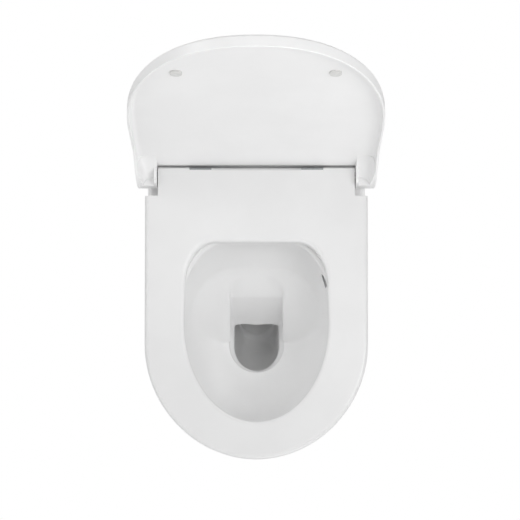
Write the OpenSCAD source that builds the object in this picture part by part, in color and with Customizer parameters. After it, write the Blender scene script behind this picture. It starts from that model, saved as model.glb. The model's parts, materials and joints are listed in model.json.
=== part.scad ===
// Wall hung toilet: ceramic pan, hinged seat ring and hinged lid on a lift-off hinge unit.
// The origin is midway between the two wall fixing holes, on the wall plane.
// +X is to the right, the front faces -Y and +Z is up. All lengths are in millimetres.

/* [Pan outside] */
// Distance from the wall to the front of the pan
pan_reach = 539; // [500:1:560]
// Half width of the pan at the wall end of its rim
pan_half_rear = 174; // [165:0.5:178]
// Half width of the pan's rim where its front curve starts
pan_half_front = 171; // [160:0.5:176]
// Length of the rim's front curve
pan_nose = 176; // [160:1:190]
// Height of the pan's rim over the wall fixing holes
rim_z = 78; // [74:0.5:84]
// Depth of the pan from its rim to its underside
pan_depth = 328; // [318:1:345]
// Half width of the pan's flat underside
foot_half = 112; // [95:1:130]
// Reach of the pan's flat underside from the wall
foot_reach = 250; // [235:1:280]
// Radius of the rim's outer and inner edges
rim_round = 8; // [4:0.5:10]
// Wall thickness of the ceramic round the rear cavities
ceramic_wall = 14; // [10:0.5:18]
// Depth of the rear cavities from the wall
cavity_depth = 168; // [130:2:175]

/* [Bowl] */
// Half width of the bowl's mouth
bowl_half = 119; // [112:0.5:124]
// Distance from the wall to the rear edge of the bowl's mouth
bowl_rear = 197; // [190:1:204]
// Distance from the wall to the front edge of the bowl's mouth
bowl_front = 494; // [486:1:500]
// Depth of the bowl from the rim to the mouth of the sump
bowl_depth = 148; // [142:1:154]
// Half width of the channel that leads into the sump
channel_half = 43; // [40:0.5:46]
// Half width of the sump
sump_half = 37; // [34:0.5:39]
// Height over which the channel's sides close in to the sump
channel_close = 14; // [10:1:18]
// Distance from the wall to the rear edge of the sump
sump_rear = 312; // [307:1:317]
// Distance from the wall to the front edge of the sump
sump_front = 389; // [385:1:390]
// Distance from the sump's rear edge back to the trap's crest
crest_back = 135; // [130:1:140]
// Height of the trap's crest over the mouth of the sump
crest_rise = 18; // [15:0.5:20]
// How far the sump runs back under the chute
sump_undercut = 26; // [20:1:28]
// Depth of the sump's floor under the rim
sump_floor = 283; // [276:1:288]
// Distance from the wall to the top edge of the sloped chute behind the sump
chute_rear = 274; // [269:1:279]
// Depth of the chute's top edge under the rim
chute_depth = 100; // [94:1:106]
// Run of the bowl's steep rear wall, from its top to the shelf beside the channel
shelf_start = 36; // [33:0.5:39]
// Length of the spillway above the chute
spill_length = 39; // [34:1:42]
// Height of the spillway above the chute
spill_rise = 25; // [21:0.5:28]
// How much wider the spillway is than the sump at each side
spill_flare = 4; // [2:0.5:6]
// Length of the mouth's front curve
bowl_nose = 159; // [150:1:165]
// Width over which the channel's edges are eased into the bowl
bowl_blend = 5; // [3:0.5:8]

/* [Water ways] */
// Radius of the trap passage
trap_r = 29; // [25:0.5:31]
// Outer radius of the outlet spigot
spigot_r = 51; // [50:0.1:51.5]
// Inner radius of the outlet spigot
outlet_r = 44; // [40:0.5:45]
// Height of the outlet under the wall fixing holes
outlet_drop = 100; // [98:0.5:102]
// Exposed length of the outlet spigot
spigot_length = 42; // [36:1:50]
// Radius of the groove round the spigot
spigot_groove_r = 66; // [60:0.5:70]
// Radius of the flush inlet
inlet_r = 27.5; // [27:0.1:28]
// Height of the flush inlet over the wall fixing holes
inlet_rise = 35; // [33:0.5:37]
// Depth of the flush inlet
inlet_depth = 45; // [35:1:60]
// Distance from the middle plane to the flush duct's end
duct_out = 117; // [114:0.5:118]
// Distance from the wall to the flush duct's end
duct_end = 268; // [262:1:272]
// Height of the flush duct's end over the wall fixing holes
duct_rise = 53; // [50:0.5:56]
// Radius of the flush duct inside the rim
duct_r = 13; // [10:0.5:14]

/* [Wall fixing] */
// Distance between the two wall fixing holes
fixing_width = 180; // [178:1:182]
// Radius of the stud hole in a wall bracket
stud_hole_r = 6.5; // [6.3:0.1:7]
// Width and height of a wall bracket
bracket_size = 44; // [40:1:48]
// Width taken off a wall bracket beside the trap
bracket_trim = 6; // [4:0.5:8]
// How deep a clamp screw reaches into its wall bracket
clamp_grip = 12; // [8:0.5:14]
// Depth of a wall bracket from the wall
bracket_depth = 46; // [42:1:50]
// Distance from the wall to the clamp screws
clamp_y = 28; // [24:0.5:30]
// Radius of a clamp screw's shank
clamp_r = 4; // [3.5:0.5:5]
// Outer radius of the bush round a clamp screw in the pan's flank
clamp_bush_r = 7.5; // [7:0.5:9]
// Radius of the cap over a clamp screw
clamp_cap_r = 11; // [10:0.5:13]
// Thickness of a wall fixing washer
washer_thick = 3; // [2:0.5:4]
// Radius of a wall fixing washer
washer_r = 15; // [13:0.5:18]
// Height of a wall fixing nut
nut_height = 10; // [8:0.5:12]
// Width of a wall fixing nut across its flats
nut_flats = 18; // [17:0.5:19]

/* [Seat] */
// Height of the gap between the rim and the seat's underside
seat_gap = 8; // [7.5:0.1:9]
// Thickness of the seat
seat_thick = 24; // [22:0.5:26]
// Half width of the seat at its rear
seat_half_rear = 175.5; // [172:0.5:180]
// Half width of the seat where its front curve starts
seat_half_front = 172.8; // [168:0.2:178]
// Distance from the wall to the front of the seat
seat_reach = 542; // [530:1:550]
// Length of the seat's front curve
seat_nose = 178; // [160:1:195]
// Distance from the wall to the seat's rear edge
seat_rear = 86; // [85:0.5:87]
// Half width of the seat's opening
hole_half = 111.5; // [106:0.5:116]
// Distance from the wall to the rear edge of the seat's opening
hole_rear = 205; // [198:1:212]
// Distance from the wall to where the front curve of the seat's opening starts
hole_split = 330; // [322:1:338]
// Length of the rear corners of the seat's opening
hole_corner = 66; // [60:1:72]
// Distance from the wall to the front edge of the seat's opening
hole_front = 484.5; // [474:0.5:490]
// Radius of the seat's upper edges
seat_round = 7; // [4:0.5:8]
// Half width of the seat between its rear corner notches
tongue_half = 154.5; // [150:0.5:157]
// Distance from the wall to the front of the corner notches
notch_front = 132; // [128:1:138]
// Half width of the hinge recess in the seat's rear edge
recess_half = 105.5; // [105:0.5:108]

/* [Lid] */
// Thickness of the lid's flat panel
lid_thick = 5.5; // [4.5:0.5:7]
// Gap between the seat's top and the closed lid's inner face
lid_gap = 3; // [2.6:0.1:4]
// Half width of the lid at its rear
lid_half_rear = 187.1; // [185.5:0.1:190]
// Half width of the lid at its widest
lid_half = 187.4; // [186:0.1:192]
// Distance from the wall to the front of the closed lid
lid_reach = 562; // [560:0.5:568]
// Length of the lid's front curve
lid_nose = 284; // [276:1:290]
// Height of the lid's edge along its front
lid_edge = 18; // [16:0.5:18.5]
// Wall thickness of the lid's edge
lid_wall = 3.6; // [3:0.1:3.8]
// Radius of the cove between the lid's inner face and its edge
lid_cove = 8; // [5:0.5:9]
// Radius of the lid's outer upper edge
lid_round = 4; // [2:0.5:5]
// Clearance between the ears of the closed lid and the top of the pan
ear_gap = 2; // [1.5:0.1:3]
// Distance that the lid's rear end lies behind the hinge axis
lid_tail = 12; // [10:0.5:13]
// Thickness of the cheek that closes an ear beside the seat
cheek_thick = 4; // [3:0.5:5]
// Distance from the wall at which the lid's edge starts to come down to the ears
ear_start = 205; // [195:1:215]
// Length over which the lid's edge comes down to the ears
ear_run = 85; // [75:1:92]
// Distance from the hinge axis to the floor that closes an ear beside its cheek
ear_floor = 5; // [3:0.5:8]
// Length over which the hollow of an ear opens out into the lid
ear_slope = 45; // [40:1:48]
// Angle from closed to open that the lid leans back to
lid_open = 98.5; // [95:0.5:100]

/* [Hinge] */
// Distance from the wall to the hinge axis
axis_out = 96; // [95:0.5:97]
// Height of the hinge axis over the rim
axis_up = 23.5; // [23:0.1:24]
// Outer radius of the hinge bar and the hinge blocks' barrels
barrel_r = 6; // [5.5:0.1:6.1]
// Radius of the hinge pins
pin_r = 3.5; // [3:0.1:3.8]
// Running clearance of a hinge pin in the part that turns on it
pin_play = 0.05; // [0.02:0.01:0.09]
// Clearance round the barrels inside the seat
barrel_play = 0.4; // [0.3:0.05:0.6]
// Inner end of a hinge block, from the middle of the seat
block_in = 46; // [44:0.5:46.5]
// Width of a hinge block
block_width = 23.5; // [21:0.5:23.5]
// Depth of a hinge block's column, front to back
block_depth = 10; // [8:0.5:10]
// Length of a release button
button_length = 9; // [8:0.5:9.5]
// Radius of a release button
button_r = 3.6; // [3:0.1:3.8]
// Travel of a release button
button_travel = 2; // [1:0.5:2.5]
// Length of a damper
damper_length = 36; // [28:1:38]
// Radius of a damper
damper_r = 4.6; // [4.2:0.1:4.8]
// Distance between the two seat fixing holes
seat_hole_width = 155; // [150:1:160]
// Distance from the wall to the seat fixing holes
seat_hole_out = 110; // [108:0.5:112]
// Radius of a seat fixing hole in the pan
seat_hole_r = 7.5; // [7:0.5:8]
// Depth of a seat fixing hole
seat_hole_depth = 42; // [38:1:50]
// Thickness of a base plate under a hinge block
plate_thick = 2.6; // [2:0.1:3]
// Thickness of the gasket under a base plate
gasket_thick = 1; // [0.5:0.1:1.2]
// Radius of the stud on which a hinge block is held
stud_r = 3.5; // [3:0.1:4]
// Height of that stud
stud_height = 7; // [5:0.5:7.5]
// Thickness of the plate with which a metal hinge leaf is screwed under the seat
leaf_thick = 6; // [4:0.5:7]
// Length of that plate in front of the hinge axis
leaf_length = 32; // [28:1:36]
// How far a hinge leaf's tail reaches behind the hinge axis
leaf_tail = 9.6; // [8:0.1:10]

/* [Pads] */
// Radius of a buffer under the seat
buffer_r = 9; // [7:0.5:11]
// Radius of a bumper inside the lid
bumper_r = 8.5; // [7:0.5:10]
// Half distance between the lid's two bumpers
bumper_x = 109; // [104:1:114]
// Distance from the front of the lid to its bumpers
bumper_back = 108; // [100:1:120]

/* [Hidden] */
$fn = 48;

white_glaze = "#f4f4f2";
white_plastic = "#f1f1f0";
eps = 0.01;
far = 1000;

axis_y = -axis_out;
axis_z = rim_z + axis_up;
seat_low = rim_z + seat_gap;
seat_top = seat_low + seat_thick;
lid_inner = seat_top + lid_gap;
lid_top = lid_inner + lid_thick;
pan_low = rim_z - pan_depth;
sump_z = rim_z - bowl_depth;
floor_z = rim_z - sump_floor;
outlet_z = -outlet_drop;
sump_low = sump_z - channel_close;
channel_front = sump_front + 2;
sump_mid = channel_front - channel_half;
bowl_centre = sump_mid - 3;
chute_z = rim_z - chute_depth;
block_out = block_in + block_width;
leaf_in = block_out + 1.5;
leaf_out = recess_half - 0.5;
plate_low = rim_z + gasket_thick;
plate_top = plate_low + plate_thick;
fixing_x = fixing_width / 2;
seat_hole_x = seat_hole_width / 2;
cheek_in = tongue_half + 1.5;
pin_end = cheek_in + cheek_thick + 4;

// Numbers of points along the parts of an outline
front_points = 22;
side_points = 4;
corner_points = 5;

function lerp(a, b, t) = a + (b - a) * t;
function smooth(t) = t <= 0 ? 0 : t >= 1 ? 1 : t * t * (3 - 2 * t);

// Right half of an outline from its front middle to its rear middle. wr and wf are the half widths at the
// rear and where the front curve starts, yr, ys and yf are the rear edge, that start and the front,
// n is the front curve's power, and cx and cy are the rear corner's radii.
function half_outline(wr, wf, yr, ys, yf, n, cx, cy) = [
    for (k = [0 : front_points])
        let (s = 90 * k / front_points)
        [wf * pow(sin(s), 2 / n), ys - (ys - yf) * pow(cos(s), 2 / n)],
    for (k = [1 : side_points])
        let (t = k / side_points)
        [lerp(wf, wr, t), lerp(ys, yr - cy, t)],
    for (k = [1 : corner_points])
        let (s = 90 * k / corner_points)
        [wr - cx + cx * cos(s), yr - cy + cy * sin(s)],
    [0, yr]
];

// The whole outline, from the front middle round the right side, at a height that may vary along Y
function outline(wr, wf, yr, ys, yf, n, cx, cy) =
    let (h = half_outline(wr, wf, yr, ys, yf, n, cx, cy), m = len(h))
    concat(h, [for (k = [m - 2 : -1 : 1]) [-h[k][0], h[k][1]]]);

function at_height(points, z) = [for (p = points) [p[0], p[1], z]];

function quad(a, b, c, d) = [[a, d, c], [a, c, b]];

// A solid whose skin runs over a stack of closed outlines. Open stacks are capped at both ends,
// and a closed stack joins its last outline to its first, as round a ring.
module skin(stack, closed = false) {
    n = len(stack[0]);
    m = len(stack);
    walls = [
        for (i = [0 : m - (closed ? 1 : 2)], j = [0 : n - 1])
            each quad(i * n + j, i * n + (j + 1) % n, ((i + 1) % m) * n + (j + 1) % n, ((i + 1) % m) * n + j)
    ];
    caps = closed ? [] : [
        [for (j = [0 : n - 1]) j],
        [for (j = [n - 1 : -1 : 0]) (m - 1) * n + j]
    ];
    polyhedron(points = [for (ring = stack) each ring], faces = concat(caps, walls), convexity = 8);
}

// A round tube along points, whose sections all hold the direction given by side
module pipe(path, r, side, sides = 20) {
    last = len(path) - 1;
    stack = [
        for (i = [0 : last])
            let (
                d = path[min(i + 1, last)] - path[max(i - 1, 0)],
                d1 = d / norm(d),
                u = cross(d1, side) / norm(cross(d1, side)),
                v = cross(u, d1)
            )
            [for (k = [0 : sides - 1]) path[i] + r * (cos(360 * k / sides) * v + sin(360 * k / sides) * u)]
    ];
    skin(stack);
}

// Points on a smooth curve through a list of points
function spline(p, steps) = [
    for (i = [0 : len(p) - 2], k = [0 : steps - 1])
        let (
            t = k / steps,
            a = p[max(i - 1, 0)], b = p[i], c = p[i + 1], d = p[min(i + 2, len(p) - 1)]
        )
        0.5 * ((2 * b) + (c - a) * t + (2 * a - 5 * b + 4 * c - d) * t * t
            + (3 * b - a - 3 * c + d) * t * t * t),
    p[len(p) - 1]
];

module both_sides() {
    children();
    mirror([1, 0, 0]) children();
}

module along_x(x0, x1, y, z) {
    translate([x0, y, z]) rotate([0, 90, 0]) linear_extrude(x1 - x0) children();
}

module rod_x(x0, x1, y, z, r) {
    translate([x0, y, z]) rotate([0, 90, 0]) cylinder(h = x1 - x0, r = r);
}

// From the wall plane towards the front
module rod_y(x, z, y0, y1, r) {
    translate([x, -y0, z]) rotate([90, 0, 0]) cylinder(h = y1 - y0, r = r);
}

// The pan

// Share of its full width or reach that the pan keeps at a share t of its depth
function flank(t) = pow(1 - pow(t, 3.2), 0.6);
function keel(t) = pow(1 - pow(t, 2.7), 0.66);

function pan_ring(t, inset, z) =
    let (
        wr = lerp(foot_half, pan_half_rear, flank(t)) - inset,
        wf = lerp(foot_half - 6, pan_half_front, flank(t)) - inset,
        reach = lerp(foot_reach, pan_reach, keel(t)) - inset,
        nose = lerp(foot_half, pan_nose, keel(t)) - inset
    )
    at_height(outline(wr, wf, 30, -(reach - nose), -reach, lerp(2.2, 1.97, keel(t)), 3, 3), z);

// Share of the bowl's taper that is left at a share u of its depth
function bowl_taper(u) = pow(1 - pow(u, 2.2), 0.6);

// The bowl's rear wall falls steeply and then runs forward as the shelf beside the channel
function bowl_back(u) =
    u < 0.48 ? lerp(bowl_rear, bowl_rear + shelf_start, pow(u / 0.48, 2.2))
    : lerp(bowl_rear + shelf_start, sump_rear + 30, pow((u - 0.48) / 0.52, 0.62));

// Right half of the bowl's outline at a share u of its depth
function bowl_half_outline(u) =
    let (
        w = lerp(channel_half + 2, bowl_half, bowl_taper(u)),
        front = lerp(channel_front + 1, bowl_front, bowl_taper(u)),
        back = bowl_back(u),
        split = -lerp(sump_mid, bowl_front - bowl_nose, bowl_taper(u)),
        cx = lerp(w * 0.55, w * 0.68, bowl_taper(u)),
        cy = min(lerp(channel_half * 0.5, bowl_half * 0.92, bowl_taper(u)), (-back - split) * 0.9)
    )
    half_outline(w - lerp(0, 4, bowl_taper(u)), w, -back, split, -front, 2.05, cx, cy);

// Rear end of the channel at a height: undercut in the sump, then sloped as the chute and the spillway
function slot_rear(z) =
    z < sump_low ? sump_rear - sump_undercut * smooth((sump_low - z) / 55)
    : z < chute_z ? lerp(sump_rear, chute_rear, (z - sump_low) / (chute_z - sump_low))
    : lerp(chute_rear, chute_rear - spill_length, min((z - chute_z) / spill_rise, 1));

function slot_half_outline(z) =
    let (
        w = lerp(sump_half, channel_half, smooth((z - sump_low) / channel_close))
            + spill_flare * smooth((z - chute_z) / spill_rise),
        cx = 5 + 38 * smooth((z - chute_z) / spill_rise),
        cy = 5 + 17 * smooth((z - chute_z) / spill_rise)
    )
    half_outline(w, w, -slot_rear(z), -sump_mid, -lerp(sump_front, channel_front,
        smooth((z - sump_low) / channel_close)), 2, cx, cy);

// Distances from the bowl's centre line to a half outline, by direction
function by_direction(points) =
    [for (p = points) [atan2(p[0], -(p[1] + bowl_centre)), norm([p[0], p[1] + bowl_centre])]];

function blend_max(a, b, width) = let (gap = max(width - abs(a - b), 0)) max(a, b) + gap * gap / (4 * width);

// One level of the bowl and its channel, blended into each other
function bowl_level(z) =
    let (
        u = min(max((rim_z - rim_round - z) / (bowl_depth - rim_round), 0), 1),
        slot = by_direction(slot_half_outline(z)),
        bowl = by_direction(bowl_half_outline(u)),
        last = front_points + side_points + corner_points + 1,
        sink = min(max((sump_low - z) / (sump_low - floor_z), 0), 1),
        keep = max(pow(1 - pow(sink, 2.2), 0.5), 0.02),
        right = [
            for (j = [0 : last])
                let (
                    a = 180 * j / last,
                    edge = (1 - smooth((sump_z - z) / 10)) * smooth((130 - a) / 40) * (2 + bowl_blend * 0.09),
                    r = z > sump_z ? blend_max(lookup(a, bowl), lookup(a, slot), bowl_blend)
                        : lookup(a, slot) + edge
                )
                [r * sin(a) * pow(keep, 0.35), lerp(-sump_mid + 23, -bowl_centre - r * cos(a), keep)]
        ]
    )
    concat(right, [for (j = [last - 1 : -1 : 1]) [-right[j][0], right[j][1]]]);

module pan_shell() {
    outer = [
        for (k = [0 : 15])
            let (t = pow(1 - k / 16, 0.72))
            pan_ring(t, 0, rim_z - pan_depth * t),
        for (k = [0 : 4])
            let (s = 90 * k / 4)
            pan_ring(0, rim_round * (1 - cos(s)), rim_z - rim_round + rim_round * sin(s))
    ];
    edge = bowl_level(rim_z - rim_round);
    mouth = [
        for (k = [0 : 3])
            let (s = 90 * k / 3, grow = rim_round * (1 - sin(s)))
            [for (p = edge)
                let (d = [p[0], p[1] + bowl_centre], wide = d * (1 + grow / norm(d)))
                [wide[0], wide[1] - bowl_centre, rim_z - rim_round * (1 - cos(s))]]
    ];
    bowl = [
        for (k = [1 : 15])
            let (z = rim_z - rim_round - (bowl_depth - rim_round) * pow(k / 15, 0.85))
            at_height(bowl_level(z), z),
        for (k = [1 : 3])
            let (z = lerp(sump_z, sump_low, k / 3))
            at_height(bowl_level(z), z),
        for (k = [1 : 8])
            let (z = lerp(sump_low, floor_z, sin(90 * k / 8)))
            at_height(bowl_level(z), z)
    ];
    skin(concat(outer, mouth, bowl));
}

trap_path = spline([
    [0, -sump_mid + 6, floor_z + trap_r + 5], [0, -sump_mid + 30, floor_z + trap_r + 3],
    [0, -sump_rear + 22, floor_z + trap_r + 8], [0, -sump_rear + 64, floor_z + trap_r + 41],
    [0, -sump_rear + crest_back - 36, sump_low + 2], [0, -sump_rear + crest_back, sump_low + crest_rise],
    [0, -sump_rear + crest_back + 34, sump_low + 6],
    [0, -105, outlet_z + 6], [0, -60, outlet_z]
], 3);

duct_path = spline([
    [0, -inlet_depth + 6, inlet_rise + 6], [duct_out - 103, -duct_end + 188, duct_rise - 9],
    [duct_out - 69, -duct_end + 136, duct_rise - 3], [duct_out - 30, -duct_end + 88, duct_rise - 1],
    [duct_out - 4, -duct_end + 46, duct_rise], [duct_out, -duct_end, duct_rise]
], 3);

// One of the two cavities that are open to the wall on either side of the trap
module rear_cavity() {
    inner = spigot_groove_r + 6;
    skin([
        for (k = [0 : 5])
            let (
                t = k / 5,
                y = lerp(1, -cavity_depth, t),
                top = rim_z - ceramic_wall - lerp(4, 22, t),
                low = pan_low + ceramic_wall + lerp(0, 22, t)
            )
            concat(
                [[inner, y, top], [inner, y, low]],
                [for (j = [7 : -1 : 0])
                    let (z = lerp(top, low, j / 7), depth = (rim_z - z) / pan_depth)
                    [lerp(foot_half, pan_half_front, flank(depth)) - ceramic_wall - lerp(0, 10, t), y, z]]
            )
    ]);
}

module pan() {
    color(white_glaze) difference() {
        pan_shell();
        pipe(trap_path, trap_r, [1, 0, 0]);
        pipe(duct_path, duct_r, [0, 0, 1], 16);
        // the wall face
        translate([-far / 2, 0, -far / 2]) cube([far, 60, far]);
        both_sides() rear_cavity();
        // outlet and the groove that leaves its spigot standing
        rod_y(0, outlet_z, -1, 75, outlet_r);
        translate([0, 0, outlet_z]) rotate([90, 0, 0]) difference() {
            translate([0, 0, -1]) cylinder(h = spigot_length + 1, r = spigot_groove_r);
            translate([0, 0, -2]) cylinder(h = spigot_length + 3, r = spigot_r);
        }
        // flush inlet
        rod_y(0, inlet_rise, -1, inlet_depth, inlet_r);
        // clamp screw holes through the flanks
        both_sides() rod_x(fixing_x, far / 4, -clamp_y, 0, clamp_bush_r);
        // seat fixing holes
        for (x = [-seat_hole_x, seat_hole_x])
            translate([x, -seat_hole_out, rim_z - seat_hole_depth])
                cylinder(h = seat_hole_depth + 20, r = seat_hole_r);
    }
}

// The seat

function seat_ring(inset, z) = at_height(outline(
    seat_half_rear - inset, seat_half_front - inset, -seat_rear + 20, -(seat_reach - seat_nose),
    -(seat_reach - inset), 1.97, 3, 3), z);

function hole_ring(grow, z) = at_height(outline(
    hole_half + grow - 1, hole_half + grow, -(hole_rear - grow), -hole_split, -(hole_front + grow), 2.02,
    hole_half * 0.42, hole_corner), z);

module seat_blank() {
    top = seat_top;
    wide = seat_round;
    tall = seat_round * 0.8;
    skin([
        seat_ring(4, seat_low),
        seat_ring(1.2, seat_low + 1.2),
        seat_ring(0, seat_low + 4),
        seat_ring(0, top - tall),
        for (k = [1 : 5])
            let (s = 90 * k / 5)
            seat_ring(wide * (1 - cos(s)), top - tall + tall * sin(s)),
        for (k = [0 : 5])
            let (s = 90 - 90 * k / 5)
            hole_ring((wide - 1) * (1 - cos(s)), top - tall + tall * sin(s)),
        hole_ring(0, seat_low + 4),
        hole_ring(1.2, seat_low + 1.2),
        hole_ring(4, seat_low)
    ], closed = true);
}

module leaf_plate(x0, x1, y0, y1, z0, z1) {
    translate([x0, y0, z0]) cube([x1 - x0, y1 - y0, z1 - z0]);
}

module seat() {
    free = barrel_r + barrel_play;
    color(white_plastic) difference() {
        seat_blank();
        // straight rear edge, set back below
        translate([-far / 2, -seat_rear, 0]) cube([far, 60, far / 4]);
        translate([-far / 2, -seat_rear - 4.5, 0]) cube([far, 60, axis_z - 3.5]);
        // corner notches for the lid's ears
        both_sides() translate([tongue_half, -notch_front, 0]) cube([60, 90, far / 4]);
        // the hinge line's channel, open below and behind
        rod_x(-recess_half, recess_half, axis_y, axis_z, free);
        translate([-recess_half, axis_y - free, seat_low - 20])
            cube([2 * recess_half, 60, axis_z - seat_low + 20]);
        translate([-recess_half, -seat_rear - 4.5, seat_low - 20]) cube([2 * recess_half, 60, 80]);
        translate([-recess_half, axis_y, seat_low - 20])
            cube([2 * recess_half, 60, axis_z + free - seat_low + 20]);
        // rear edge rounded about the hinge axis, so that it turns clear of the lid
        difference() {
            translate([-far / 2, axis_y + 1, axis_z]) cube([far, 60, far / 4]);
            rod_x(-far / 2 - 1, far / 2 + 1, axis_y, axis_z, lid_inner - axis_z - 0.4);
        }
        // pockets for the plates of the hinge leaves
        both_sides() leaf_plate(leaf_in - 0.5, leaf_out + 0.5, axis_y - leaf_length - 0.5, axis_y,
            seat_low - 5, seat_low + leaf_thick);
        // bores for the hinge pins
        both_sides() rod_x(recess_half - 1, tongue_half + 1, axis_y, axis_z, pin_r + pin_play);
        both_sides() for (x = leaf_screw_x) translate([x, leaf_screw_y, seat_low])
            cylinder(h = leaf_thick + 9, r = 1.6);
    }
}

leaf_screw_x = [leaf_in + 8, leaf_out - 8];
leaf_screw_y = axis_y - leaf_length + 9;

// A metal leaf on the hinge pin, sunk into the seat's underside and screwed to it
module hinge_leaf() {
    difference() {
        union() {
            rod_x(leaf_in, leaf_out, axis_y, axis_z, barrel_r);
            leaf_plate(leaf_in, leaf_out, axis_y, axis_y + leaf_tail, axis_z - 3, axis_z + 4.5);
            leaf_plate(leaf_in, leaf_out, axis_y - 6, axis_y - 1, seat_low, axis_z);
            leaf_plate(leaf_in, leaf_out, axis_y - leaf_length, axis_y - 1, seat_low, seat_low + leaf_thick);
        }
        rod_x(leaf_in - 1, leaf_out + 1, axis_y, axis_z, pin_r + pin_play);
        for (x = leaf_screw_x) translate([x, leaf_screw_y, seat_low - 1]) {
            cylinder(h = leaf_thick + 2, r = 2.1);
            cylinder(h = 3.6, r = 4.1);
        }
    }
}

module hinge_leaves() {
    color("silver") both_sides() hinge_leaf();
}

module leaf_screws() {
    color("silver") both_sides() for (x = leaf_screw_x) translate([x, leaf_screw_y, seat_low + 0.2]) {
        cylinder(h = 2.4, r = 3.9);
        cylinder(h = leaf_thick + 8, r = 1.6);
    }
}

buffer_places = [[118, -175], [118, -410], [-118, -175], [-118, -410]];

module seat_buffers() {
    color("#d9d9d6") for (p = buffer_places)
        translate([p[0], p[1], rim_z + 0.2]) {
            cylinder(h = 1.5, r = buffer_r - 1);
            translate([0, 0, 1.5]) cylinder(h = seat_gap - 1.7, r = buffer_r);
        }
}

// The lid, drawn closed and then leant open about the hinge axis

module opened() {
    translate([0, axis_y, axis_z]) rotate([-lid_open, 0, 0]) translate([0, -axis_y, -axis_z]) children();
}

ear_lip = rim_z + ear_gap;
swing = axis_up - 0.9;

function lid_outline(inset) = outline(
    lid_half_rear - inset, lid_half - inset, axis_y + lid_tail - inset, -(lid_reach - lid_nose),
    -(lid_reach - inset), 2.24, max(10 - inset, 2), max(10 - inset, 2));

// The lip is level along the front, comes down to the ears towards the hinge, and is rounded off behind
// the hinge axis so that it clears the pan as the lid turns
function lip_z(p) =
    let (back = max(p[1] - axis_y, 0))
    max(lerp(lid_top - lid_edge, ear_lip, smooth((p[1] + ear_start) / ear_run)),
        axis_z - sqrt(swing * swing - back * back));

function lip_ring(inset, up) = [for (p = lid_outline(inset)) [p[0], p[1], lip_z(p) + up]];

module lid_blank() {
    top = lid_top;
    cove = lid_cove;
    skin([
        at_height(lid_outline(lid_wall + cove), lid_inner),
        at_height(lid_outline(lid_wall + cove * 0.5), lid_inner - cove * 0.13),
        at_height(lid_outline(lid_wall + cove * 0.13), lid_inner - cove * 0.5),
        at_height(lid_outline(lid_wall), lid_inner - cove),
        lip_ring(lid_wall, 1),
        lip_ring(lid_wall - 1, 0),
        lip_ring(1, 0),
        lip_ring(0, 1),
        at_height(lid_outline(0), top - lid_round),
        at_height(lid_outline(lid_round * 0.13), top - lid_round * 0.5),
        at_height(lid_outline(lid_round * 0.5), top - lid_round * 0.13),
        at_height(lid_outline(lid_round), top)
    ]);
}

// What fills an ear: up to its floor it reaches from cheek to edge, and then it slopes away as a cove
function ear_section(y, wide, high, n) =
    let (x0 = cheek_in + 0.5, x1 = lid_half_rear - lid_wall / 2, z0 = lip_z([0, y]) + 0.6, z1 = lid_inner + 1)
    concat(
        [[x0, y, z1]],
        [for (k = [0 : 8])
            let (a = 90 * k / 8)
            [x0 + (wide - x0) * pow(sin(a), 2 / n), y, z0 + (high - z0) * pow(cos(a), 2 / n)]],
        [[x1, y, z0], [x1, y, z1]]
    );

module ear_fill() {
    closed = [axis_y + lid_tail - 4, axis_y - ear_floor];
    skin(concat(
        [for (y = closed) ear_section(y, cheek_in + 1.5, lip_z([0, y]) + 1.6, 2)],
        [for (k = [0 : 6])
            let (t = k / 6)
            ear_section(axis_y - ear_floor - 0.6 - ear_slope * t, lid_half_rear - lerp(9.6, 4.1, t),
                lid_inner - 0.5 - 18 * (1 - t) * (1 - t), lerp(2, 6, t))]
    ));
}

module lid() {
    color(white_plastic) opened() difference() {
        union() {
            lid_blank();
            both_sides() ear_fill();
            // cheeks that close the ears and turn on the hinge pins
            both_sides() {
                rod_x(cheek_in, cheek_in + cheek_thick + 5, axis_y, axis_z, pin_r + 4);
                rotate([90, 0, 90]) translate([0, 0, cheek_in]) linear_extrude(cheek_thick) polygon([
                    [axis_y - 22, lid_inner + 1],
                    [axis_y - 22, ear_lip + 3],
                    [axis_y - 19, ear_lip],
                    [axis_y + 7, ear_lip + 1],
                    [axis_y + lid_tail - 1.5, ear_lip + 4],
                    [axis_y + lid_tail - 1.5, lid_inner + 1]
                ]);
            }
        }
        // the rear is open between the cheeks
        translate([-cheek_in, axis_y - 60, ear_lip - 5])
            cube([2 * cheek_in, 100, lid_inner - ear_lip + 5]);
        both_sides() rod_x(cheek_in - 1, pin_end, axis_y, axis_z, pin_r + pin_play);
    }
}

module lid_bumpers() {
    color("#e3e3e0") opened() both_sides()
        translate([bumper_x, bumper_back - lid_reach, lid_inner - lid_gap + 0.3])
            cylinder(h = lid_gap - 0.3, r = bumper_r);
}

// The hinge unit, which lifts off the two base plates

module hinge_bar() {
    color("#b9bbbd") difference() {
        rod_x(-block_in, block_in, axis_y, axis_z, barrel_r);
        rod_x(-block_in - 1, block_in + 1, axis_y, axis_z, damper_r + 0.05);
    }
}

button_z = axis_z - 11.5;

module hinge_block() {
    difference() {
        union() {
            rod_x(block_in, block_out, axis_y, axis_z, barrel_r);
            translate([block_in, axis_y - block_depth / 2, plate_top])
                cube([block_width, block_depth, axis_z - plate_top]);
        }
        rod_x(block_in - 1, block_out + 1, axis_y, axis_z, pin_r + pin_play);
        translate([block_in + block_width / 2, axis_y, plate_top - 1])
            cylinder(h = stud_height + 1.5, r = stud_r + 0.1);
        rod_x(block_in - 1, block_in + 7.2, axis_y, button_z, button_r + 0.05);
    }
}

module left_hinge_block() {
    color("silver") mirror([1, 0, 0]) hinge_block();
}

module right_hinge_block() {
    color("silver") hinge_block();
}

// Pressed outwards, it lets the hinge block off the stud of its base plate
module release_button() {
    rod_x(block_in + 4.5 - button_length, block_in + 4.5, axis_y, button_z, button_r);
}

module left_release_button() {
    color("gainsboro") mirror([1, 0, 0]) release_button();
}

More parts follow.
